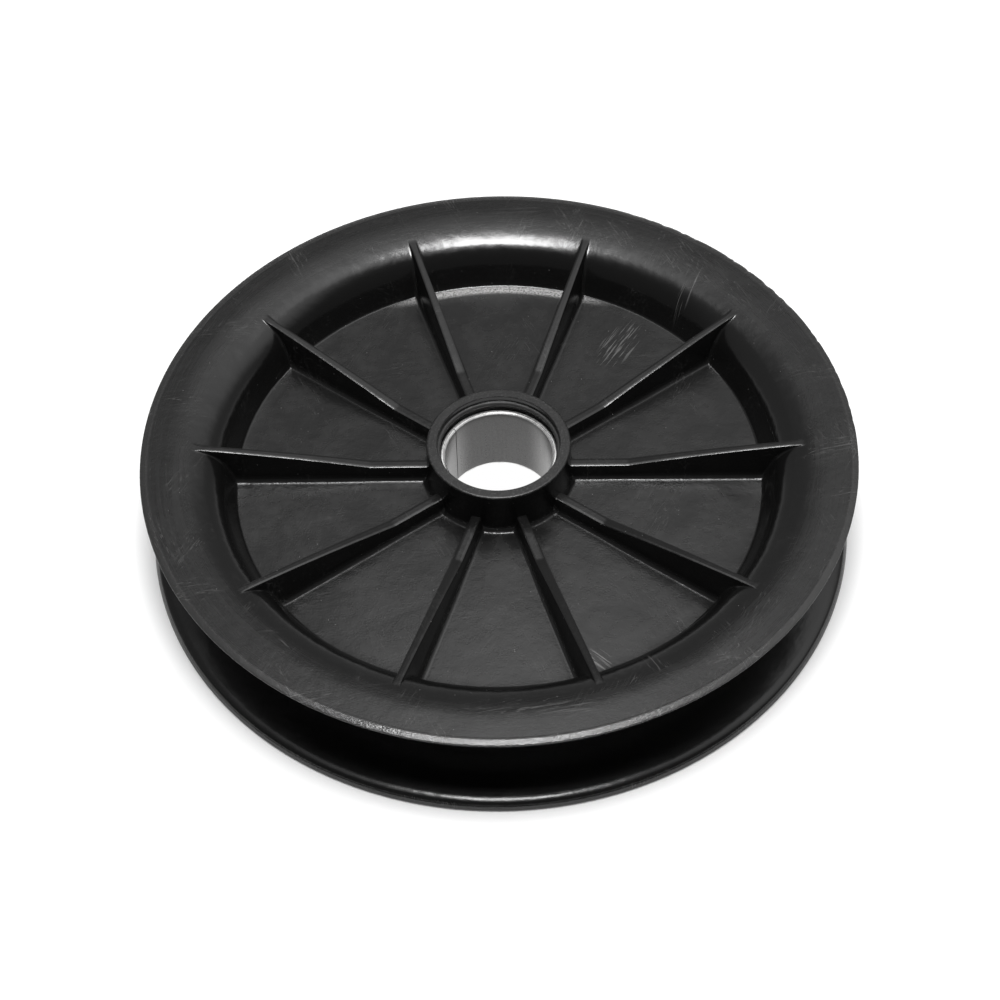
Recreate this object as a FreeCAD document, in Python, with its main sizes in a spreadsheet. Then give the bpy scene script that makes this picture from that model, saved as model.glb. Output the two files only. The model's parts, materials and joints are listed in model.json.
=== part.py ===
import FreeCAD, Part
import os
import Sketcher

# A moulded plastic hose pulley with a rolled steel bush pressed into its hub.
# Frame: the bore runs along Z, the origin is its middle, and one rib lies on +X.
# Lengths are millimetres and angles are degrees.

drivingSizes = [
    ("flangeDiameter", 166.0, "over the two flanges"),
    ("pulleyWidth", 26.9, "across the flange edges"),
    ("flangeEdge", 3.0, "thickness of a flange at its edge"),
    ("flangeRound", 1.2, "radius on both corners of a flange edge"),
    ("grooveRadius", 9.4, "round bottom of the hose groove"),
    ("grooveDepth", 18.6, "from the flange edge to the groove bottom"),
    ("rimWall", 3.0, "wall between the groove and the face of the pulley"),
    ("webThickness", 3.6, "plate between hub and rim"),
    ("rimFootFillet", 1.0, "where the rim stands on the web"),
    ("hubWall", 2.5, "at the hub's end face, outside the counterbore"),
    ("hubDraft", 1.0, "taper of the hub's outside"),
    ("hubFootFillet", 1.2, "where the hub stands on the web"),
    ("hubEdgeRound", 0.5, "outer edge of the hub's end face"),
    ("ribCount", 10, "ribs on each side of the web"),
    ("ribRootWidth", 2.9, "width of a rib at the web"),
    ("ribDraft", 3.3, "taper of a rib's sides"),
    ("ribFootFillet", 1.2, "where a rib stands on the web"),
    ("ribHubHeight", 4.0, "above the web, from the hub out to the kink"),
    ("ribKinkRadius", 30.0, "where a rib starts to climb to the rim"),
    ("ribCrownDrop", 0.1, "rib below the crown of the rim, where it runs out"),
    ("bushBore", 25.0, "running bore"),
    ("bushWall", 1.5, "wall of the rolled bush"),
    ("bushLength", 18.4, "along the bore"),
    ("bushOuterChamfer", 0.57, "lead-in for pressing"),
    ("bushInnerChamfer", 0.45, "lead-in for the axle"),
    ("bushSeamWidth", 0.2, "open butt joint of the rolled strip"),
    ("bushSeamAngle", 144.2, "place of the joint, from +X"),
    ("bushRecess", 3.95, "from the hub's end face down to the bush"),
    ("lipOverlap", 0.2, "plastic that springs in behind the bush, on the radius"),
    ("counterboreStep", 0.2, "counterbore beyond the bush seat, on the radius"),
    ("counterboreDepth", 2.05, "from the hub's end face down to the lip"),
]

workedSizes = [
    ("flangeRim", "Sizes.flangeDiameter / 2"),
    ("flangeFace", "Sizes.pulleyWidth / 2"),
    ("webFace", "Sizes.webThickness / 2"),
    ("grooveCentre", "flangeRim - Sizes.grooveDepth + Sizes.grooveRadius"),
    ("rimRadius", "Sizes.grooveRadius + Sizes.rimWall"),
    ("edgeCentre", "flangeRim - Sizes.flangeRound"),
    ("edgeReach", "edgeCentre - grooveCentre"),
    ("faceRise", "flangeFace - Sizes.flangeRound"),
    ("mouthRise", "flangeFace - Sizes.flangeEdge + Sizes.flangeRound"),
    ("faceSlope", "atan(faceRise / edgeReach)"
                  " - asin((rimRadius - Sizes.flangeRound) / sqrt(edgeReach ^ 2 + faceRise ^ 2))"),
    ("wallSlope", "atan(mouthRise / edgeReach) - asin((Sizes.grooveRadius"
                  " + Sizes.flangeRound) / sqrt(edgeReach ^ 2 + mouthRise ^ 2))"),
    ("bushRadius", "Sizes.bushBore / 2 + Sizes.bushWall"),
    ("bushEnd", "Sizes.bushLength / 2"),
    ("bushShoulder", "bushEnd - Sizes.bushOuterChamfer"),
    ("lipRadius", "bushRadius - Sizes.lipOverlap"),
    ("counterboreRadius", "bushRadius + Sizes.counterboreStep"),
    ("lipRound", "counterboreRadius - lipRadius"),
    ("hubFace", "bushEnd + Sizes.bushRecess"),
    ("lipCrest", "hubFace - Sizes.counterboreDepth"),
    ("hubRadius", "counterboreRadius + Sizes.hubWall"),
    ("hubTaper", "Sizes.hubDraft * 1 deg"),
    ("ribStart", "(lipRadius + hubRadius) / 2"),
    ("ribHub", "webFace + Sizes.ribHubHeight"),
    ("ribCrown", "rimRadius - Sizes.ribCrownDrop"),
    ("ribTaper", "Sizes.ribDraft * 1 deg"),
    ("ribFoot", "Sizes.ribRootWidth / 2 + Sizes.ribFootFillet * (1 / cos(ribTaper) - tan(ribTaper))"),
]

# How many short flats stand for a round stretch of an outline.
rimFlatCount = 5
grooveFlatCount = 3
flangeFlatCount = 2
mouthFlatCount = 1
edgeFlatCount = 1
footFlatCount = 1

# How a constraint names the two ends of an edge and the sketch's own two axes.
end = {"start": 1, "finish": 2}
axis = {"horizontal": -1, "vertical": -2}


def writeSheet(document, name, rows):
    sheet = document.addObject("Spreadsheet::Sheet", name)
    for number, row in enumerate(rows, start=1):
        sheet.set(f"A{number}", row[0])
        sheet.set(f"B{number}", str(row[1]) if name == "Sizes" else f"={row[1]}")
        sheet.setAlias(f"B{number}", row[0])
        if len(row) > 2:
            sheet.set(f"C{number}", row[2])
    document.recompute()
    return sheet


def originPlane(body, role):
    return next(plane for plane in body.Origin.OriginFeatures if plane.Role == role)


def newBody(document, name):
    body = document.addObject("PartDesign::Body", name)
    body.Label = name
    return body


def newSketch(body, name, role):
    sketch = body.newObject("Sketcher::SketchObject", name)
    sketch.AttachmentSupport = [(originPlane(body, role), "")]
    sketch.MapMode = "FlatFace"
    return sketch


def number(sketch, text):
    """The value of an expression on the sheets, in millimetres or degrees."""
    value = sketch.evalExpression(text)
    return float(getattr(value, "Value", value))


def pin(sketch, direction, edge, text):
    """Hold the end of an edge at a distance from the sketch's origin, or on an axis at 0."""
    if text == "0":
        onto = axis["vertical"] if direction == "DistanceX" else axis["horizontal"]
        sketch.addConstraint(Sketcher.Constraint("PointOnObject", edge, end["finish"], onto))
        return
    distance = Sketcher.Constraint(direction, axis["horizontal"], end["start"],
                                   edge, end["finish"], number(sketch, text))
    sketch.setExpression(f"Constraints[{sketch.addConstraint(distance)}]", text)


def drawOutline(sketch, corners):
    """Close an outline of straight edges, each held to the sheets at the corner it leads to."""
    points = [FreeCAD.Vector(number(sketch, x), number(sketch, y), 0) for x, y in corners]
    first = sketch.GeometryCount
    for before, point in zip(points[-1:] + points[:-1], points):
        sketch.addGeometry(Part.LineSegment(before, point), False)
    for index, (x, y) in enumerate(corners):
        edge, after = first + index, first + (index + 1) % len(corners)
        sketch.addConstraint(Sketcher.Constraint("Coincident", edge, end["finish"], after, end["start"]))
        pin(sketch, "DistanceX", edge, x)
        pin(sketch, "DistanceY", edge, y)


def roundStretch(centreX, centreY, radius, first, last, flatCount):
    """Corners along an arc that is drawn as short flats, with both of its ends."""
    corners = []
    for step in range(flatCount + 1):
        angle = f"({first} + ({last} - ({first})) * {step} / {flatCount})"
        corners.append((f"{centreX} + {radius} * cos{angle}", f"{centreY} + {radius} * sin{angle}"))
    return corners


def bothSides(upper):
    """An outline from its half above the X axis, where a corner at 0 lies on that axis."""
    return upper + [(x, f"-({y})") for x, y in reversed(upper) if y != "0"]


def revolve(body, kind, name, sketch):
    feature = body.newObject(f"PartDesign::{kind}", name)
    feature.Profile = sketch
    feature.ReferenceAxis = (sketch, ["V_Axis"])
    feature.Angle = 360
    sketch.Visibility = False
    body.Document.recompute()
    return feature


def makeRibs(body):
    """The ribs, one of each side drawn in its cross-section and trimmed along its top."""
    foot = "Sizes.ribFootFillet"
    tip = "(Sizes.ribRootWidth / 2 - (Worked.rimRadius - Worked.webFace) * tan(Worked.ribTaper))"
    rightFoot = roundStretch("Worked.ribFoot", f"(Worked.webFace + {foot})", foot,
                             "180 deg + Worked.ribTaper", "270 deg", footFlatCount)
    leftFoot = [(f"-({x})", y) for x, y in reversed(rightFoot)]

    section = newSketch(body, "RibSection", "YZ_Plane")
    section.setExpression("AttachmentOffset.Base.z", "Worked.ribStart")
    drawOutline(section, bothSides(
        leftFoot + [(f"-{tip}", "Worked.rimRadius"), (tip, "Worked.rimRadius")] + rightFoot))
    bar = body.newObject("PartDesign::Pad", "RibBar")
    bar.Profile = section
    bar.setExpression("Length", "Worked.grooveCentre - Worked.ribStart")
    section.Visibility = False
    body.Document.recompute()

    top = newSketch(body, "RibTop", "XZ_Plane")
    for sign in ("", "-"):
        drawOutline(top, [
            ("0", f"{sign}(Worked.ribHub)"),
            ("Sizes.ribKinkRadius", f"{sign}(Worked.ribHub)"),
            ("Worked.grooveCentre", f"{sign}(Worked.ribCrown)"),
            ("Worked.flangeRim", f"{sign}(Worked.ribCrown)"),
            ("Worked.flangeRim", f"{sign}(Worked.rimRadius + 1)"),
            ("0", f"{sign}(Worked.rimRadius + 1)"),
        ])
    trim = body.newObject("PartDesign::Pocket", "RibTrim")
    trim.Profile = top
    trim.Midplane = True
    trim.setExpression("Length", "2 * Worked.ribFoot")
    top.Visibility = False
    body.Document.recompute()

    ribs = body.newObject("PartDesign::PolarPattern", "Ribs")
    ribs.Originals = [bar, trim]
    ribs.Axis = (originPlane(body, "Z_Axis"), [""])
    ribs.Angle = 360
    ribs.setExpression("Occurrences", "Sizes.ribCount")
    body.Tip = ribs
    body.Document.recompute()


def hubOutline():
    """From the axis over the hub's end face and down its tapered side to the web."""
    taper = "Worked.hubTaper"
    edge, foot = "Sizes.hubEdgeRound", "Sizes.hubFootFillet"
    edgeX = f"Worked.hubRadius + {edge} * (tan({taper}) - 1 / cos({taper}))"
    drop = f"(Worked.hubFace - Worked.webFace - {foot})"
    footX = f"Worked.hubRadius + {drop} * tan({taper}) + {foot} / cos({taper})"
    return (
        [("0", "Worked.hubFace")]
        + roundStretch(edgeX, f"Worked.hubFace - {edge}", edge, "90 deg", taper, edgeFlatCount)
        + roundStretch(footX, f"Worked.webFace + {foot}", foot, f"180 deg + {taper}",
                       "270 deg", footFlatCount)
    )


def rimOutline():
    """From the web round the outside of the hose channel and out to the flange edge."""
    foot, corner = "Sizes.rimFootFillet", "Sizes.flangeRound"
    reach = f"(Worked.rimRadius + {foot})"
    rise = f"(Worked.webFace + {foot})"
    footX = f"Worked.grooveCentre - sqrt({reach} ^ 2 - {rise} ^ 2)"
    lean = f"asin({rise} / {reach})"
    slope = "Worked.faceSlope"
    return (
        roundStretch(footX, rise, foot, "270 deg", f"360 deg - {lean}", footFlatCount)
        + roundStretch("Worked.grooveCentre", "0", "Worked.rimRadius",
                       f"180 deg - {lean}", f"90 deg + {slope}", rimFlatCount)[1:]
        + roundStretch("Worked.edgeCentre", "Worked.faceRise", corner,
                       f"90 deg + {slope}", "0 deg", flangeFlatCount)
    )


def grooveOutline():
    """The hose channel: a round bottom, two sloping walls and a rounded mouth."""
    corner, slope = "Sizes.flangeRound", "Worked.wallSlope"
    channel = roundStretch("Worked.grooveCentre", "0", "Sizes.grooveRadius",
                           "180 deg", f"90 deg + {slope}", grooveFlatCount)
    mouth = roundStretch("Worked.edgeCentre", "Worked.mouthRise", corner,
                         f"{slope} - 90 deg", "0 deg", mouthFlatCount)
    bottom = ("Worked.grooveCentre - Sizes.grooveRadius", "0")
    return [bottom] + channel[1:] + mouth + [("Worked.flangeRim + 1", "Worked.mouthRise")]


def seatOutline():
    """The hub's bore: counterbore, the lip behind the bush and the bush's seat."""
    return [
        ("0", "Worked.hubFace + 1"),
        ("Worked.counterboreRadius", "Worked.hubFace + 1"),
        ("Worked.counterboreRadius", "Worked.lipCrest"),
        ("Worked.lipRadius", "Worked.lipCrest - Worked.lipRound"),
        ("Worked.lipRadius", "Worked.bushShoulder + Sizes.lipOverlap"),
        ("Worked.bushRadius", "Worked.bushShoulder"),
    ]


def makeSheave(document):
    body = newBody(document, "sheave")

    plate = newSketch(body, "WebSection", "XZ_Plane")
    drawOutline(plate, bothSides([
        ("0", "Worked.webFace"),
        ("Worked.grooveCentre", "Worked.webFace"),
    ]))
    revolve(body, "Revolution", "Web", plate)
    makeRibs(body)

    wheel = newSketch(body, "WheelSection", "XZ_Plane")
    drawOutline(wheel, bothSides(hubOutline() + rimOutline()))
    revolve(body, "Revolution", "Wheel", wheel)

    channel = newSketch(body, "GrooveSection", "XZ_Plane")
    drawOutline(channel, bothSides(grooveOutline()))
    revolve(body, "Groove", "HoseGroove", channel)

    seat = newSketch(body, "SeatSection", "XZ_Plane")
    drawOutline(seat, bothSides(seatOutline()))
    revolve(body, "Groove", "BushSeat", seat)
    return body


def makeBush(document):
    body = newBody(document, "bush")
    ring = newSketch(body, "BushSection", "XZ_Plane")
    drawOutline(ring, bothSides([
        ("Sizes.bushBore / 2", "Worked.bushEnd - Sizes.bushInnerChamfer"),
        ("Sizes.bushBore / 2 + Sizes.bushInnerChamfer", "Worked.bushEnd"),
        ("Worked.bushRadius - Sizes.bushOuterChamfer", "Worked.bushEnd"),
        ("Worked.bushRadius", "Worked.bushShoulder"),
    ]))
    revolve(body, "Revolution", "BushRing", ring)

    joint = newSketch(body, "SeamSection", "XY_Plane")
    joint.setExpression("AttachmentOffset.Rotation.Angle", "Sizes.bushSeamAngle")
    drawOutline(joint, bothSides([
        ("Sizes.bushBore / 2 - 1", "Sizes.bushSeamWidth / 2"),
        ("Worked.bushRadius + 1", "Sizes.bushSeamWidth / 2"),
    ]))
    seam = body.newObject("PartDesign::Pocket", "BushSeam")
    seam.Profile = joint
    seam.Midplane = True
    seam.Type = "ThroughAll"
    joint.Visibility = False
    document.recompute()
    return body


def checkDocument(document, bodies):
    for item in document.Objects:
        if "Invalid" in item.State or "Error" in item.State:
            raise RuntimeError(f"{item.Name} is {item.State}")
    for body in bodies:
        shape = body.Shape
        if shape.isNull() or not shape.isValid() or len(shape.Solids) != 1:
            raise RuntimeError(f"{body.Label} is not one valid solid")


def main():
    document = FreeCAD.newDocument("HosePulley")
    writeSheet(document, "Sizes", drivingSizes)
    writeSheet(document, "Worked", workedSizes)
    bodies = [makeSheave(document), makeBush(document)]
    document.recompute()
    checkDocument(document, bodies)
    os.makedirs("parts", exist_ok=True)
    for body in bodies:
        body.Shape.exportStep(f"parts/{body.Label}.step")
        box = body.Shape.optimalBoundingBox(False)
        print(f"{body.Label}: {body.Shape.Volume / 1000:.2f} cm3, {box.XLength:.1f} x "
              f"{box.YLength:.1f} x {box.ZLength:.1f} mm, {len(body.Shape.Faces)} faces")


main()
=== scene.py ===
import json
import math

import bpy
import numpy as np
from mathutils import Matrix, Vector


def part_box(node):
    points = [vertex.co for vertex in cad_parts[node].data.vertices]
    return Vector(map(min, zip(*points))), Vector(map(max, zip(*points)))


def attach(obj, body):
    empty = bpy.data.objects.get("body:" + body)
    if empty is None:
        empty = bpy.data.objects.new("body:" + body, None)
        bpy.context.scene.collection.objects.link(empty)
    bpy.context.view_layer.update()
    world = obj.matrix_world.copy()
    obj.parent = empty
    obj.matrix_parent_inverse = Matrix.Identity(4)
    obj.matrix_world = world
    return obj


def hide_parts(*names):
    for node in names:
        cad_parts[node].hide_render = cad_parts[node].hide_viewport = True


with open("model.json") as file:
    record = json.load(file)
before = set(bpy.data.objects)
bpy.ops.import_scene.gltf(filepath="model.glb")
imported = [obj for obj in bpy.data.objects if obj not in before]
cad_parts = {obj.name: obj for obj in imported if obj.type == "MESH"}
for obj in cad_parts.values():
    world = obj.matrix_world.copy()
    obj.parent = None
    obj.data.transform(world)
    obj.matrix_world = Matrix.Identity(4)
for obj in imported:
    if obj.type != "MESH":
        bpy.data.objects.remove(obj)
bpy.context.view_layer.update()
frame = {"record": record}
mm = 0.001
print("frame loaded")


class Value:
    # one output socket, so that arithmetic on it adds Math nodes
    def __init__(self, shader, socket):
        self.shader, self.socket = shader, socket

    def math(self, operation, *sockets):
        return self.shader.node("ShaderNodeMath", {"operation": operation}, dict(enumerate(sockets)))

    def of(self, operation, *others):
        return self.math(operation, self, *others)

    def __add__(self, other):
        return self.math("ADD", self, other)

    def __sub__(self, other):
        return self.math("SUBTRACT", self, other)

    def __rsub__(self, other):
        return self.math("SUBTRACT", other, self)

    def __mul__(self, other):
        return self.math("MULTIPLY", self, other)

    def __truediv__(self, other):
        return self.math("DIVIDE", self, other)

    def __pow__(self, other):
        return self.math("POWER", self, other)

    def __gt__(self, other):
        return self.math("GREATER_THAN", self, other)

    def __abs__(self):
        return self.math("ABSOLUTE", self)

    def larger(self, other):
        return self.math("MAXIMUM", self, other)

    def smaller(self, other):
        return self.math("MINIMUM", self, other)

    def ramp(self, low, high, fromValue=0.0, toValue=1.0):
        # a smooth step between two thresholds
        return self.shader.node("ShaderNodeMapRange", {"interpolation_type": "SMOOTHSTEP"}, {
            "Value": self, "From Min": low, "From Max": high, "To Min": fromValue, "To Max": toValue})

    def fall(self, low, high):
        return self.ramp(low, high, 1.0, 0.0)

    __radd__ = __add__
    __rmul__ = __mul__


class Shader:
    # the node tree of a material or of the world
    def __init__(self, owner):
        owner.use_nodes = True
        self.tree = owner.node_tree
        self.tree.nodes.clear()

    def node(self, kind, settings=None, sockets=None, output=0):
        made = self.tree.nodes.new(kind)
        for name, setting in (settings or {}).items():
            setattr(made, name, setting)
        for key, value in (sockets or {}).items():
            if isinstance(value, Value):
                self.tree.links.new(value.socket, made.inputs[key])
            else:
                made.inputs[key].default_value = value
        return Value(self, made.outputs[output]) if made.outputs else None

    def scaled(self, vector, factor):
        return self.node("ShaderNodeVectorMath", {"operation": "SCALE"}, {0: vector, "Scale": factor})

    def join(self, x, y, z=0.0):
        return self.node("ShaderNodeCombineXYZ", None, {0: x, 1: y, 2: z})

    def beside(self, value, output):
        # another output of the node that a value comes from
        return Value(self, value.socket.node.outputs[output])

    def split(self, vector):
        first = self.node("ShaderNodeSeparateXYZ", None, {0: vector})
        return [self.beside(first, axis) for axis in range(3)]

    def noise(self, vector, scale, detail=2.0, rough=0.5):
        return self.node("ShaderNodeTexNoise", None, {
            "Vector": vector, "Scale": scale, "Detail": detail, "Roughness": rough})

    def cells(self, vector, scale):
        return self.node("ShaderNodeTexVoronoi", None, {"Vector": vector, "Scale": scale})

    def blendColour(self, factor, first, second):
        # the sockets of a Mix node that is set to colour: 0 factor, 6 and 7 the two colours
        return self.node("ShaderNodeMix", {"data_type": "RGBA"}, {0: factor, 6: first, 7: second}, 2)

    def bump(self, height):
        # relief in millimetres
        return self.node("ShaderNodeBump", None, {"Height": height, "Distance": mm})

    def place(self):
        # where a point is on the object, in millimetres
        return self.scaled(self.node("ShaderNodeTexCoord", output=3), 1 / mm)

    def finish(self, surface):
        self.node("ShaderNodeOutputMaterial", None, {"Surface": surface})


def blend(weights, layers):
    # layers added up, each times the weight of the same name
    total = 0.0
    for name, weight in weights.items():
        total = layers[name] * weight + total
    return total


def grey(level, warmth=0.0):
    return (level * (1 + warmth), level, level * (1 - warmth), 1.0)


def makeMesh(name, points, faces, sharpAngle):
    mesh = bpy.data.meshes.new(name)
    mesh.from_pydata((points * mm).tolist(), [], faces)
    mesh.shade_smooth()
    mesh.set_sharp_from_angle(angle=math.radians(sharpAngle))
    mesh.update()
    piece = bpy.data.objects.new(name, mesh)
    bpy.context.scene.collection.objects.link(piece)
    return piece


def arc(x, z, radius, first, last, count):
    # points round a corner of an outline, with both of its ends
    angles = np.radians(np.linspace(first, last, count + 1))
    return [(x + radius * math.cos(a), z + radius * math.sin(a)) for a in angles]


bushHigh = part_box("bush")[1] / mm
wheelLow, wheelHigh = (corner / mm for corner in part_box("sheave"))
boreMount = next(mount for mount in frame["record"]["mounts"] if mount["name"] == "bore")

# The moulded wheel. Lengths are millimetres and angles are degrees.
wheel = {
    "flangeRadius": wheelHigh.x,
    "flangeFace": wheelHigh.z,
    "brow": (1.6, 11.0, 0.18),   # radii from the face out to the edge, the last one round it
    "browTilt": (13.5, 19.5),   # where each of them hands over to the next
    "mouth": (11.0, 1.5, 5.0),   # radii from the edge into the groove
    "mouthTilt": (70.0, 64.0, 26.0),   # where each of them starts
    "grooveRadius": 9.4,
    "grooveDepth": 18.6,
    "rimRound": (20.0, 9.2),   # radii from the flange down to the rim's inner wall
    "rimTop": 77.3,   # where the flange starts to fall
    "rimTurn": 26.0,   # tilt where the first of those arcs hands over to the second
    "rimSplit": 16.0,   # tilt up to which the first one needs few steps
    "rimLean": 23.0,
    "rimFoot": 0.8,
    "webFace": 1.8,
    "hubFace": 13.15,
    "hubWall": 2.5,
    "hubDraft": 1.0,
    "hubFoot": 1.9,
    "hubEdge": 0.5,
    # stations, close together where the ribs' tops join the hub's wall and at the ribs' kink
    "wallHeights": (9.5, 6.7, 6.1, 5.85, 5.65, 5.2, 4.5),
    "webRadii": (20.5, 23, 26, 29.8, 30.2, 30.6, 34, 40, 48, 55, 59),
    "counterbore": bushHigh.x + 0.3,
    "recess": bushHigh.x - 0.05,   # the hollow under the bead that holds the bush, and its heights
    "recessHeights": (bushHigh.z - 0.37, 10.1),
    "lipRadius": bushHigh.x - 0.4,
    "lipCrest": 11.6,
    "lipTurn": 220,   # where the bead's round starts
    "shoulder": bushHigh.z - 0.57,
    "mouthBreak": 0.12,   # chamfer on the inner edge of the hub's face
    "faceEnd": 0.1,   # how far inside its rounded outer edge the face's last point lies
    "flare": 0.86,   # how fast the lower mouth opens, and from what depth
    "flareStart": 9.9,
    "ribs": 10,
    "ribRoot": 1.45,   # half of its width, at the web
    "ribDraft": 3.3,
    "ribEdge": 0.45,
    "ribFoot": 2.1,
    "crease": 0.22,   # radius where a foot meets the floor, and the tilt that it takes up
    "creaseTilt": 31.0,
    "ribHub": 5.85,   # height of its top near the hub
    "ribKink": 30.2,
    "ribClimb": 0.198,   # its slope past the kink, and how fast that flattens
    "ribArch": 0.00092,
    "ribEnd": 70.9,
    "ribNose": 0.7,
    "columns": 4,   # between a rib's foot and the middle of the pocket
    "nickedColumns": 24,
    "nickedSectors": (0, 1),   # where the flange's edge is nicked
    "nickSeed": 11,
    "nickDepth": 0.34,
    "nickCount": 58,
    "nickArc": (2, 66),   # where on the flange they are
    "nickReach": (0.5, 1.0),
    "nickStart": 0.9,   # how far from the edge they begin, and over how much they deepen
    "nickFade": 0.6,
    "flangeUnder": 11,   # above this height lies the flange
    "evenFrom": 1.5,   # over this last stretch of it the columns are evenly spread
    "flatRun": 0.5,   # flat stretch past a round, before the next station
    "apart": 0.06,   # least distance between two columns on a rib
}
# how many steps each round is divided into
steps = {
    "ribEdge": 2,
    "foot": 3,
    "crease": 1,
    "lip": 8,
    "hubEdge": 4,
    "rimRound": (15, 7, 5),   # from the inner wall up, the last over the flange's first part
    "rimFoot": 4,
    "brow": (3, 5, 8),
    "mouth": (3, 5, 5),
    "groove": 10,
}


def foot(wallX, base, radius, slope):
    # the hollow at the foot of a wall that leans by slope; it meets the floor in a crease
    lip = min(wheel["crease"], radius / 3)
    rest = math.radians(wheel["creaseTilt"])
    middleX = wallX + radius / math.cos(math.radians(slope))
    middleZ = base + lip + (radius - lip) * math.cos(rest)
    points = arc(middleX, middleZ, radius, 180 + slope, 270 - wheel["creaseTilt"], steps["foot"])
    creaseX = middleX - (radius - lip) * math.sin(rest)
    return points + arc(creaseX, base + lip, lip, 270 - wheel["creaseTilt"], 270, steps["crease"])[1:]


def ribTop(radius):
    past = max(radius - wheel["ribKink"], 0)
    top = wheel["ribHub"] + past * wheel["ribClimb"] - past ** 2 * wheel["ribArch"]
    nose = min(max(radius - wheel["ribEnd"] + wheel["ribNose"], 0), wheel["ribNose"])
    return top - wheel["ribNose"] + math.sqrt(wheel["ribNose"] ** 2 - nose ** 2)


def ribSection(base, top):
    # half of a rib cut across: distance from its middle and height, from its top down to its foot
    taper, lean = math.tan(math.radians(wheel["ribDraft"])), math.cos(math.radians(wheel["ribDraft"]))
    side = wheel["ribRoot"] + wheel["webFace"] * taper
    edge = min(wheel["ribEdge"], 0.45 * (top - base))
    hollow = min(wheel["ribFoot"], 0.4 * (top - base))
    edgeX = side - (top - edge) * taper - edge / lean
    points = [(0, top), (edgeX / 2, top)]
    points += arc(edgeX, top - edge, edge, 90, wheel["ribDraft"], steps["ribEdge"])
    points += foot(side - (base + hollow) * taper, base, hollow, wheel["ribDraft"])
    points.append((points[-1][0] + wheel["flatRun"], base))
    spaced = [points[0]]
    for across, height in points[1:]:
        spaced.append((max(across, spaced[-1][0] + wheel["apart"]), height))
    return spaced


grooveCentre = wheel["flangeRadius"] - wheel["grooveDepth"] + wheel["grooveRadius"]


def tangentSlope(reach, rise, radiusSum):
    # lean of the line that touches both the round groove and its mouth
    return math.degrees(math.atan2(rise, reach) - math.asin(radiusSum / math.hypot(reach, rise)))


def handOver(radii, angles, x=0.0, z=0.0):
    # middle of the last of several arcs, each tangent to the next at an angle
    for first, second, angle in zip(radii, radii[1:], angles):
        x += (first - second) * math.cos(math.radians(angle))
        z += (first - second) * math.sin(math.radians(angle))
    return x, z


def chain(x, z, radii, angles, counts):
    # arcs that run on from one another, from the middle of the first
    points = arc(x, z, radii[0], angles[0], angles[1], counts[0])
    for number in range(1, len(radii)):
        middle = handOver(radii[:number + 1], angles[1:number + 1], x, z)
        points += arc(*middle, radii[number], angles[number], angles[number + 1], counts[number])[1:]
    return points


def line(first, last, count):
    return [tuple(point) for point in np.linspace(first, last, count + 1)]


def hubOutline():
    # half of the hub's section: the bush's seat, the bead above it, the mouth, the face and its outer edge
    w = wheel
    seat = line((bushHigh.x, 0), (bushHigh.x, w["shoulder"]), 2)
    recess = line(*[(w["recess"], height) for height in w["recessHeights"]], 2)
    lipRound = w["counterbore"] - w["lipRadius"]
    lip = arc(w["counterbore"], w["lipCrest"] - lipRound, lipRound, w["lipTurn"], 90, steps["lip"])
    mouthX, mouthZ, top = w["counterbore"], w["lipCrest"] + w["flatRun"], w["hubFace"]
    mouth = line((mouthX, mouthZ), (mouthX, top - w["mouthBreak"]), 3)
    edgeX = mouthX + w["hubWall"] - w["hubEdge"]
    face = line((mouthX + w["mouthBreak"], top), (edgeX - w["faceEnd"], top), 3)
    edge = arc(edgeX, top - w["hubEdge"], w["hubEdge"], 90, w["hubDraft"], steps["hubEdge"])
    return seat + recess + lip + mouth + face + edge


def pocketOutline(wallTop):
    # from the hub's wall over the web and up the rim's inner side: a foot, a leaning wall and two arcs
    w = wheel
    draft = math.tan(math.radians(w["hubDraft"]))
    footZ = w["webFace"] + w["hubFoot"]
    footX = w["counterbore"] + w["hubWall"] + (w["hubFace"] - footZ) * draft
    wall = [(wallTop[0] + (wallTop[1] - z) * draft, z) for z in w["wallHeights"]]
    wallFoot = foot(footX, w["webFace"], w["hubFoot"], w["hubDraft"])
    web = [(r, w["webFace"]) for r in (wallFoot[-1][0] + w["flatRun"], *w["webRadii"])]
    wide, narrow = w["rimRound"]
    turn, lean = 90 + w["rimTurn"], math.radians(w["rimLean"])
    topX, topZ = w["rimTop"], w["flangeFace"] - wide
    split, counts = 90 + w["rimSplit"], steps["rimRound"]
    rim = arc(*handOver((wide, narrow), [turn], topX, topZ), narrow, 180 - w["rimLean"], turn, counts[0])
    rim += arc(topX, topZ, wide, turn, split, counts[1])[1:]
    rim += arc(topX, topZ, wide, split, 90, counts[2])[1:]
    along = (rim[0][1] + w["rimFoot"] * (math.sin(lean) - 1) - w["webFace"]) / math.cos(lean)
    rimX = rim[0][0] - along * math.sin(lean) - w["rimFoot"] * math.cos(lean)
    footEnd = 360 - w["rimLean"]
    rimFoot = arc(rimX, w["webFace"] + w["rimFoot"], w["rimFoot"], 270, footEnd, steps["rimFoot"])
    return wall + wallFoot + web + rimFoot + line(rimFoot[-1], rim[0], 3)[1:-1] + rim


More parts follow.
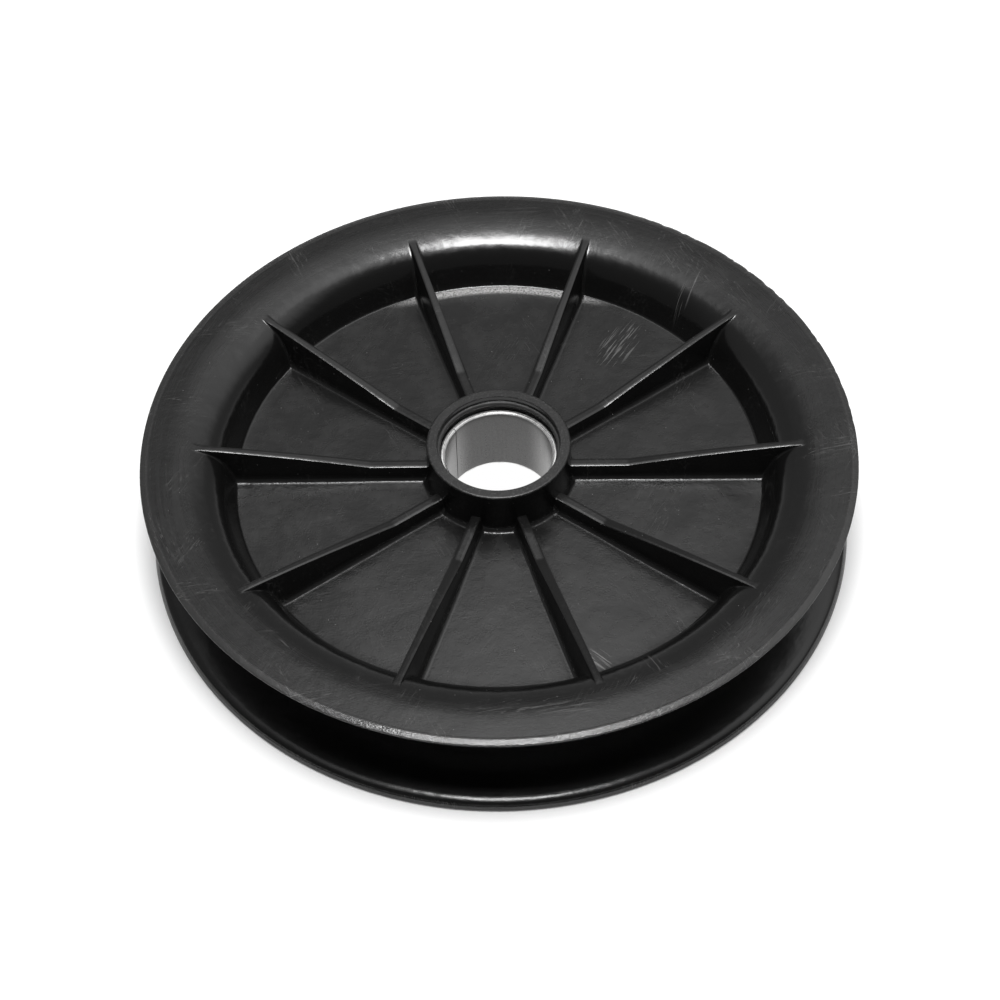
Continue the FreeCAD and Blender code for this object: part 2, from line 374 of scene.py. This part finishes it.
def edgeOutline(rimEnd):
    # the flange out to its sharp edge, below it the groove's mouth, which draws in, and half of the groove
    w = wheel
    browAngles = [90 - tilt for tilt in w["browTilt"]]
    mouthAngles = [tilt - 90 for tilt in w["mouthTilt"]]
    near, middle, sharp = w["brow"]
    shiftX, shiftZ = handOver([sharp, middle, near], browAngles[::-1])
    nearZ, edgeX = w["flangeFace"] - near, w["flangeRadius"] - sharp
    flange = chain(edgeX + shiftX, nearZ, w["brow"], [90, *browAngles, mouthAngles[0]], steps["brow"])
    radii = [sharp, *w["mouth"]]
    wideX, wideZ = handOver(radii, mouthAngles, edgeX, nearZ - shiftZ)
    wallLean = tangentSlope(wideX - grooveCentre, wideZ, w["grooveRadius"] + radii[-1])
    startX, startZ = handOver(radii[:2], mouthAngles[:1], edgeX, nearZ - shiftZ)
    channel = chain(startX, startZ, w["mouth"], [*mouthAngles, wallLean - 90], steps["mouth"])
    groove = arc(grooveCentre, 0, w["grooveRadius"], 90 + wallLean, 180, steps["groove"])
    outer = line(rimEnd, flange[0], 4)[1:-1] + flange + channel[1:]
    return outer + line(channel[-1], groove[0], 4)[1:-1] + groove


def nicks(turn):
    # how deep the flange's edge is nicked at each angle: seeded bites, close together toward the back right
    shuffle = np.random.default_rng(wheel["nickSeed"])
    depth = np.zeros(len(turn))
    for place in np.radians(shuffle.uniform(*wheel["nickArc"], wheel["nickCount"])):
        reach = math.radians(shuffle.uniform(*wheel["nickReach"]))
        bite = shuffle.uniform(0.1, 1) ** 2
        depth = np.maximum(depth, bite * np.clip(1 - np.abs(turn - place) / reach, 0, 1))
    return depth * wheel["nickDepth"]


def wheelRow(radius, height, columns):
    # one station of the outline carried round the wheel, sector by sector
    half = math.pi / wheel["ribs"]
    turn, rise = [], []
    for sector in range(wheel["ribs"]):
        angles, heights = columns(radius, height, sector in wheel["nickedSectors"])
        turn.append(2 * half * sector + np.concatenate([angles, 2 * half - angles[-2:0:-1]]))
        rise.append(np.concatenate([heights, heights[-2:0:-1]]))
    turn, rise = np.concatenate(turn), np.concatenate(rise)
    past = (radius - wheel["flangeRadius"] + wheel["nickStart"]) / wheel["nickFade"]
    reach = min(max(past, 0), 1) if height > wheel["flangeUnder"] else 0
    inner = radius - nicks(turn) * reach
    return np.stack([inner * np.cos(turn), inner * np.sin(turn), rise], axis=1)


def makeWheel():
    hub = hubOutline()
    pocket = pocketOutline(hub[-1])
    edge = edgeOutline(pocket[-1])
    half = math.pi / wheel["ribs"]

    def ribColumns(radius, base, nicked):
        # angles from the middle of a rib to the middle of its pocket, and the height at each
        spread = wheel["nickedColumns"] if nicked else wheel["columns"]
        low = min(base, ribTop(radius))
        section = np.array(ribSection(low, ribTop(radius)))
        feet = np.arcsin(section[:, 0] / radius)
        heights = np.concatenate([section[:, 1], np.full(spread, base)])
        return np.concatenate([feet, np.linspace(feet[-1], half, spread + 1)[1:]]), np.maximum(heights, base)

    def hubColumns(radius, base, nicked):
        angles = ribColumns(*pocket[0], nicked)[0]
        return angles, np.full(len(angles), base)

    def rimColumns(radius, base, nicked):
        # the columns spread out evenly past the ends of the ribs
        angles = ribColumns(*pocket[-1], nicked)[0]
        start, end = pocket[-1][0], wheel["flangeRadius"] - wheel["evenFrom"]
        share = min(max((radius - start) / (end - start), 0), 1)
        share = share * share * (3 - 2 * share) if base > wheel["flangeUnder"] else 1
        return angles * (1 - share) + np.linspace(0, half, len(angles)) * share, np.full(len(angles), base)

    rows = [wheelRow(*station, hubColumns) for station in hub]
    rows += [wheelRow(*station, ribColumns) for station in pocket]
    rows += [wheelRow(*station, rimColumns) for station in edge]
    mirrored = [row * np.array([1, 1, -1]) for row in rows[-2:0:-1]]
    for row in mirrored:
        # the lower mouth of the hub is a wide lead-in; a little less than all keeps the stations apart
        radius = np.hypot(row[:, 0], row[:, 1])
        flare = wheel["lipRadius"] + wheel["flare"] * (-row[:, 2] - wheel["flareStart"])
        wider = radius + np.maximum(flare - radius, 0) * 0.98
        row[:, :2] *= (wider / radius)[:, None]
    points = np.array(rows + mirrored)
    stations, around = points.shape[:2]
    index = np.arange(stations * around).reshape(stations, around)
    nextStation, nextColumn = np.roll(index, -1, axis=0), np.roll(index, -1, axis=1)
    both = np.roll(nextStation, -1, axis=1)
    faces = np.stack([index, nextColumn, both, nextStation], axis=-1).reshape(-1, 4)
    print("wheel", stations, "stations", around, "columns", len(faces) * 2, "triangles")
    return makeMesh("hosePulleyWheel", points.reshape(-1, 3), faces.tolist(), 40)


wheelPiece = makeWheel()
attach(wheelPiece, "root")
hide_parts("sheave")

# The rolled steel bush
bush = {
    "boreRadius": boreMount["dims"]["r_mm"],
    "outerRadius": bushHigh.x,
    "halfLength": bushHigh.z,
    "outerChamfer": 0.57,
    "innerChamfer": (0.45, 0.1),   # at its upper and its lower end
    "edgeRound": 0.06,
    "seamWidth": 0.2,
    "seamAngle": 144.2,
    "columns": 180,
}


def makeBush():
    b = bush
    edge, end, middle = b["edgeRound"], b["halfLength"], b["outerRadius"] - b["outerChamfer"]
    halves = []
    for chamfer in b["innerChamfer"]:
        half = line((b["outerRadius"], 0), (b["outerRadius"], end - b["outerChamfer"] - edge), 4)
        half += [(b["outerRadius"] - edge / 2, end - b["outerChamfer"])]
        half += [(middle + edge / 2, end - edge / 2), (middle - edge, end)]
        half += [(b["boreRadius"] + chamfer + edge, end), (b["boreRadius"] + chamfer - edge, end - edge)]
        half += [(b["boreRadius"] + edge / 3, end - chamfer + edge / 2)]
        halves.append(half + line((b["boreRadius"], end - chamfer - edge), (b["boreRadius"], 0), 6))
    outline = np.array(halves[0] + [(r, -z) for r, z in halves[1][-2:0:-1]])
    rows = []
    for step in range(b["columns"] + 1):
        gap = np.arcsin(b["seamWidth"] / 2 / outline[:, 0])
        turn = math.radians(b["seamAngle"]) + gap + (2 * math.pi - 2 * gap) * step / b["columns"]
        across, back = outline[:, 0] * np.cos(turn), outline[:, 0] * np.sin(turn)
        rows.append(np.stack([across, back, outline[:, 1]], axis=1))
    points = np.array(rows)
    around, count = points.shape[:2]
    index = np.arange(around * count).reshape(around, count)
    beside = np.roll(index, -1, axis=1)
    faces = np.stack([index[:-1], index[1:], beside[1:], beside[:-1]], axis=-1).reshape(-1, 4).tolist()
    faces += [index[0].tolist(), index[-1][::-1].tolist()]
    return makeMesh("rolledBush", points.reshape(-1, 3), faces, 25)


bushPiece = makeBush()
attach(bushPiece, "root")
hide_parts("bush")
print("pieces made")


# The moulded surface. Sizes are millimetres, on the object's own axes.
plastic = {
    "black": 0.0044,
    # what each layer adds to the black
    "pale": {
        "film": 0.0045, "worn": 0.0018, "dust": 0.012, "speck": 0.16, "scratch": 0.045,
        # the flanges' edges are paler partly from wear and partly as a painted reflection
        # the pale strip at the back of the web is a painted highlight
        "hub": 0.029, "mouth": 0.026, "edge": 0.016, "strip": 0.36,
    },
    "gloss": 0.19,
    # what each layer adds to the roughness
    "dull": {
        "flange": 0.04, "web": 0.01, "hubFace": 0.18, "mouth": 0.33, "edge": -0.06, "groove": -0.04,
        "film": 0.10, "stain": 0.22, "worn": 0.07, "lines": 0.12, "marks": 0.10, "blotch": 0.06,
    },
    # how coarse the grain is there, millimetres
    "grain": {"all": 0.016, "web": 0.024, "flange": 0.020, "hubFace": 0.05, "mouth": 0.08, "edge": 0.06},
    "blotch": {"all": 0.03, "edge": 0.06},
    "wave": 0.22,   # slow unevenness
    "lathe": 0.012,   # turning marks of the mould
    "cloudScale": 0.085,   # the larger, the finer the unevenness
    "blotchScale": 0.42,
    "grainScale": 2.2,
    "spotScale": 0.55,
    "hairlines": (12, 64, 118),   # the ways that the fine scratches run
    "stain": (0.9, -30.5),   # middle of a dark round stain on the web
    "stainEdge": (3.4, 5.0),
}
# between which radii, heights over the middle plane or ways to the back each zone begins or ends
zones = {
    "flange": (70.5, 73.0),
    "webTop": (2.15, 2.5),
    "webStart": (17.3, 17.9),
    "webEnd": (61.4, 61.8),
    # where the painted highlight at the back of the web lies
    "stripStart": (58.8, 60.2),
    "stripBack": (54.0, 59.0),
    "hubTop": (12.6, 12.95),
    "hubEnd": (17.2, 17.6),
    "mouthStart": (9.5, 10.5),
    "mouthEnd": (13.9, 14.2),
    "grooveTop": (11.2, 11.6),
    "grooveStart": (64.3, 64.5),
    "edgeFoot": (11.7, 12.1),
    "edgeStart": (81.0, 81.8),
}
# scuffs and single scratches on the upper side: middle, way they run, length, width, line spacing, strength
scuffs = [
    {"at": (46.9, 52.0), "run": 64.5, "long": 17.0, "wide": 4.2, "lines": 1.8, "weight": 1.1},
    {"at": (29.6, 41.0), "run": 57.0, "long": 19.0, "wide": 9.5, "lines": 1.7, "weight": 1.6},
    {"at": (-12.4, 69.6), "run": -6.0, "long": 5.4, "wide": 0.5, "lines": 0.6, "weight": 1.2},
    {"at": (-46.0, -57.0), "run": -51.0, "long": 5.6, "wide": 1.2, "lines": 1.6, "weight": 0.8},
    {"at": (33.0, -61.0), "run": -66.0, "long": 8.5, "wide": 3.4, "lines": 1.3, "weight": 0.7},
    {"at": (21.6, -53.6), "run": -40.0, "long": 8.0, "wide": 6.5, "lines": 2.1, "weight": 2.2},
    {"at": (5.0, 77.0), "run": 4.0, "long": 16.0, "wide": 3.0, "lines": 1.6, "weight": 0.3},
    {"at": (12.0, -74.5), "run": 8.0, "long": 22.0, "wide": 5.0, "lines": 1.4, "weight": 0.8},
]


def hairlines(s, x, y, z, run, seed):
    # long wavy scratches that run one way, in patches
    cosine, sine = math.cos(math.radians(run)), math.sin(math.radians(run))
    along, across = x * cosine + y * sine, y * cosine - x * sine
    field = s.noise(s.join(along * 0.09, across * 1.3, z * 0.3 + seed), 1.0, 1.0)
    patches = s.noise(s.join(along * 0.05, across * 0.09, seed * 3.0 + 5.0), 1.0, 1.0)
    return abs(field - 0.5).fall(0.003, 0.018) * patches.ramp(0.55, 0.7)


def scuffMark(s, x, y, mark):
    # scratches side by side within a soft oval
    cosine, sine = math.cos(math.radians(mark["run"])), math.sin(math.radians(mark["run"]))
    u, v = x - mark["at"][0], y - mark["at"][1]
    along, across = u * cosine + v * sine, v * cosine - u * sine
    reach = (along / (mark["long"] / 2)) ** 2.0 + (across / (mark["wide"] / 2)) ** 2.0
    field = s.noise(s.join(along * 0.09, across * mark["lines"], mark["at"][0]), 1.0, 2.0, 0.7)
    return field.ramp(0.53, 0.62) * reach.ramp(0.35, 1.0, mark["weight"], 0.0)


def plasticMaterial():
    material = bpy.data.materials.new("blackNylon")
    s = Shader(material)
    p, q = plastic, zones
    place = s.place()
    x, y, z = s.split(place)
    radius, height, turn = (x * x + y * y) ** 0.5, abs(z), y.of("ARCTAN2", x)
    upper = z > 0

    # where on the wheel a point lies
    flange = radius.ramp(*q["flange"])
    web = height.fall(*q["webTop"]) * radius.ramp(*q["webStart"]) * radius.fall(*q["webEnd"])
    hubFace = height.ramp(*q["hubTop"]) * radius.fall(*q["hubEnd"])
    mouth = radius.fall(*q["mouthEnd"]) * height.ramp(*q["mouthStart"])
    groove = height.fall(*q["grooveTop"]) * radius.ramp(*q["grooveStart"])
    # the flanges' outer edges: their paler colour is partly wear and partly a painted reflection of the
    # floor and the lamp above
    edge = radius.ramp(*q["edgeStart"]) * height.ramp(*q["edgeFoot"])
    besideRib = radius * (turn.of("PINGPONG", math.pi / wheel["ribs"])).of("SINE")
    outside = 1 - groove

    # mottling, grain and the turning marks of the mould
    cloud = s.noise(place, p["cloudScale"], 3.0, 0.55)
    blotch = s.noise(place, p["blotchScale"], 3.0, 0.6)
    grain = s.noise(place, p["grainScale"], 2.0, 0.6)
    lathe = s.noise(s.join(radius * 1.7, turn * 3.6, z * 0.2), 1.0, 3.0, 0.65)

    # a dull film on the web, thinner beside the ribs and in the stain, and a worn flange
    stain = ((x - p["stain"][0]) ** 2.0 + (y - p["stain"][1]) ** 2.0) ** 0.5
    stain = (stain + blotch * 3.0 - 1.5).fall(*p["stainEdge"]) * upper
    film = web * cloud.ramp(0.36, 0.66) * besideRib.ramp(2.6, 6.5) * (1 - stain * 0.8)
    film = film * blotch.ramp(0.2, 0.75, 0.4, 1.2)
    worn = flange * outside * lathe.ramp(0.35, 0.7) * cloud.ramp(0.3, 0.7, 0.3, 1.0)

    # dust, scratches, and a painted highlight: a pale strip at the back edge of the web, where the rim's
    # highlight is reflected
    strip = web * radius.ramp(*q["stripStart"]) * y.ramp(*q["stripBack"]) * besideRib.ramp(2.0, 3.0) * upper
    spots = s.cells(place, p["spotScale"])
    chance = s.split(s.beside(spots, "Color"))
    lines = 0.0
    for number, run in enumerate(p["hairlines"]):
        lines = hairlines(s, x, y, z, run, 3.0 * number) + lines
    lines = lines * (flange * 0.45 + 0.3) * outside
    marks = 0.0
    for mark in scuffs:
        marks = scuffMark(s, x, y, mark) + marks
    marks = marks * upper

    level = p["black"] + blend(p["pale"], {
        "film": film, "worn": worn, "mouth": mouth, "edge": edge, "scratch": lines + marks,
        "dust": grain.ramp(0.56, 0.74) * (worn + film + 0.25) * outside,
        "speck": spots.fall(0.03, 0.075) * chance[0].ramp(0.6, 0.95) * outside,
        "hub": hubFace * grain.ramp(0.5, 0.72), "strip": strip * grain.ramp(0.35, 0.6, 0.25, 1.0)})
    colour = s.blendColour(level.smaller(1.0), grey(0.0), grey(1.0, 0.01))
    layers = {"all": 1.0, "flange": flange, "web": web, "hubFace": hubFace, "mouth": mouth, "edge": edge,
              "groove": groove, "film": film, "stain": stain * web, "worn": worn, "lines": lines,
              "marks": marks, "blotch": blotch}
    rough = blend(p["dull"], layers) + p["gloss"]
    relief = grain * blend(p["grain"], layers) * (1 - groove * 0.7) + blotch * blend(p["blotch"], layers)
    relief = relief + cloud * p["wave"] + lathe * flange * p["lathe"]
    s.finish(s.node("ShaderNodeBsdfPrincipled", None, {
        "Base Color": colour, "Roughness": rough, "IOR": 1.52, "Normal": s.bump(relief)}))
    return material


steel = {
    "level": 0.125,
    "ringLevel": 1.0,
    "gloss": 0.26,
    "ring": 0.5,   # depth of the bright machined end, millimetres
    "ringFade": 0.12,
    "score": 13.02,   # radius of a fine dark line of painted shade on that end, where it meets its inner chamfer, and how wide it is
    "scoreWidth": (0.05, 0.16),
    "sides": (6.5, 12.4),   # how far to the side a painted reflection makes the bore brighter, and how much
    "sideGain": 2.5,
}


def steelMaterial():
    material = bpy.data.materials.new("rolledSteel")
    s = Shader(material)
    p = steel
    place = s.place()
    x, y, z = s.split(place)
    radius, height, turn = (x * x + y * y) ** 0.5, abs(z), y.of("ARCTAN2", x)
    ringStart = bush["halfLength"] - p["ring"]
    ends = height.ramp(ringStart, ringStart + p["ringFade"])
    streaks = s.noise(s.join(turn * 16.0, z * 0.06), 1.0, 3.0, 0.6)
    scores = s.noise(s.join(radius * 5.5 + z * 1.5, turn * 2.4), 1.0, 3.0, 0.7)
    grain = s.noise(place, 2.6, 3.0, 0.65)
    # painted shade: a dark line where the end meets its inner chamfer
    score = abs(radius - p["score"]).fall(*p["scoreWidth"]) * ends
    level = streaks.ramp(0.3, 0.7, 0.92, 1.06) * grain.ramp(0.3, 0.75, 0.82, 1.2) * p["level"]
    level = level + ends * (scores.ramp(0.3, 0.7, 0.5, 1.15) * p["ringLevel"] - p["level"])
    # painted reflection: the bore is made lighter to the left and right
    level = level * abs(x).ramp(*p["sides"], 1.0, p["sideGain"]) * (1 - score * 0.75)
    colour = s.blendColour(level.smaller(1.0), grey(0.0), grey(1.0, 0.008))
    rough = streaks.ramp(0.3, 0.7, p["gloss"], p["gloss"] + 0.10) + grain.ramp(0.4, 0.7) * 0.08 + ends * 0.08
    normal = s.bump(streaks * 0.008 + grain * 0.008 + scores * ends * 0.02)
    s.finish(s.node("ShaderNodeBsdfPrincipled", None, {
        "Base Color": colour, "Roughness": rough, "Metallic": 1.0, "Normal": normal}))
    return material


wheelPiece.data.materials.append(plasticMaterial())
bushPiece.data.materials.append(steelMaterial())
print("materials made")

# Floor, lamps and camera
studio = {
    "floorSize": 6.0,
    "floorWhite": 0.84,
    "floorGlow": 0.12,   # what the background shows on top of the floor's own light
    "floorPlain": (180, 420),   # between these distances its shadows and shading fade out, millimetres
    "boreFloor": (16.6, 17.4),   # the edge of the white painted light on the floor seen through the bore, laid over the wheel's shadow there
    "horizon": 0.35,
    "horizonBand": (0.05, 0.17),
    "roomLow": 0.25,   # the room's light, from low down to high up behind the object
    "roomHigh": 1.15,
    "roomRise": (0.60, 0.93),
    "roomSide": 0.3,   # how much the right counts as higher up
    "roomDark": 0.10,   # the side that the camera stands on
    "roomFront": (-0.35, 0.2),
    # soft boxes, in metres and degrees
    "key": {"size": (0.36, 0.35), "place": (0, -0.115, 1.1), "tilt": 5.97, "radiance": 24.0},
    "panel": {"size": (0.10, 0.145), "place": (0.004, 0.032, 0.2), "tilt": 0, "radiance": 0.8},
}
photoView = {
    "elevation": 50.95,
    "turn": 1.22,
    "roll": -1.45,
    "distance": 508.6,   # from the middle of the upper side, millimetres
    "aimRight": 0.35,   # what the middle of the picture shows, from the middle of the upper side
    "aimUp": -13.53,
    "lens": 79.0,
    "sensor": 36.0,
}


def seenDirectly(s, mirrored):
    # 1 for what the camera sees, through glass too, and in mirrors if asked for
    seen = s.node("ShaderNodeLightPath", output="Is Camera Ray")
    through = s.beside(seen, "Is Transmission Ray")
    return seen.larger(through).larger(s.beside(seen, "Is Glossy Ray")) if mirrored else seen.larger(through)


def makeFloor():
    half = studio["floorSize"] / 2
    low = wheelLow.z * mm
    mesh = bpy.data.meshes.new("floor")
    mesh.from_pydata([(x, y, low) for x, y in ((-half, -half), (half, -half), (half, half), (-half, half))],
                     [], [(0, 1, 2, 3)])
    floor = bpy.data.objects.new("floor", mesh)
    bpy.context.scene.collection.objects.link(floor)
    material = bpy.data.materials.new("floorWhite")
    s = Shader(material)
    glow = s.node("ShaderNodeEmission", None, {
        "Color": grey(1.0), "Strength": seenDirectly(s, True) * studio["floorGlow"]})
    paint = s.node("ShaderNodeBsdfDiffuse", None, {"Color": grey(studio["floorWhite"])})
    lit = s.node("ShaderNodeAddShader", None, {0: paint, 1: glow})
    # the floor below the bore is painted white, a painted light over the wheel's shadow there, and well away
    # from the object it is white to the eye
    x, y, z = s.split(s.place())
    distance = (x * x + y * y) ** 0.5
    plain = distance.fall(*studio["boreFloor"]).larger(distance.ramp(*studio["floorPlain"]))
    white = s.node("ShaderNodeEmission", None, {"Color": grey(1.0), "Strength": 1.0})
    s.finish(s.node("ShaderNodeMixShader", None, {0: seenDirectly(s, True) * plain, 1: lit, 2: white}))
    mesh.materials.append(material)


def makeWorld():
    # the camera sees white all round; gloss shows light above and behind, and little in front and low down
    world = bpy.data.worlds.new("studio")
    bpy.context.scene.world = world
    s = Shader(world)
    side, back, up = s.split(s.node("ShaderNodeTexCoord"))
    r = studio
    room = (up + side * r["roomSide"]).ramp(*r["roomRise"], r["roomLow"], r["roomHigh"])
    room = room + up.fall(*r["horizonBand"]) * r["horizon"]
    room = back.ramp(*r["roomFront"]) * (room - r["roomDark"]) + r["roomDark"]
    seen = seenDirectly(s, False)
    light = s.node("ShaderNodeBackground", None, {"Color": grey(1.0), "Strength": seen + (1 - seen) * room})
    s.node("ShaderNodeOutputWorld", None, {"Surface": light})


def makeLamp(name):
    # a soft box over the object, turned towards it; the camera doesn't see it
    box = studio[name]
    lamp = bpy.data.lights.new(name, "AREA")
    lamp.shape, lamp.size, lamp.size_y = "RECTANGLE", box["size"][0], box["size"][1]
    lamp.energy = box["radiance"] * 4 * box["size"][0] * box["size"][1]
    lampObject = bpy.data.objects.new(name, lamp)
    lampObject.location = box["place"]
    lampObject.rotation_euler = (math.radians(box["tilt"]), 0, 0)
    lampObject.visible_camera = False
    bpy.context.scene.collection.objects.link(lampObject)


def makeCamera():
    v = photoView
    up, roll = math.radians(v["elevation"]), math.radians(v["roll"])
    forward = Vector((0, math.cos(up), -math.sin(up)))
    upright = Vector((0, math.sin(up), math.cos(up)))
    level = Vector((1, 0, 0))
    right = level * math.cos(roll) + upright * math.sin(roll)
    above = upright * math.cos(roll) - level * math.sin(roll)
    aim = Vector((0, 0, wheelHigh.z)) + right * v["aimRight"] + above * v["aimUp"]
    place = (aim - forward * v["distance"]) * mm
    pose = Matrix((right, above, -forward)).transposed().to_4x4()
    pose.translation = place
    camera = bpy.data.cameras.new("photoCamera")
    camera.lens, camera.sensor_width = v["lens"], v["sensor"]
    camera.clip_start = 0.01
    cameraObject = bpy.data.objects.new("photoCamera", camera)
    cameraObject.matrix_world = Matrix.Rotation(math.radians(v["turn"]), 4, "Z") @ pose
    bpy.context.scene.collection.objects.link(cameraObject)
    bpy.context.scene.camera = cameraObject


makeFloor()
makeWorld()
makeLamp("key")
makeLamp("panel")
makeCamera()
bpy.context.scene.view_settings.view_transform = "Standard"
print("studio made")
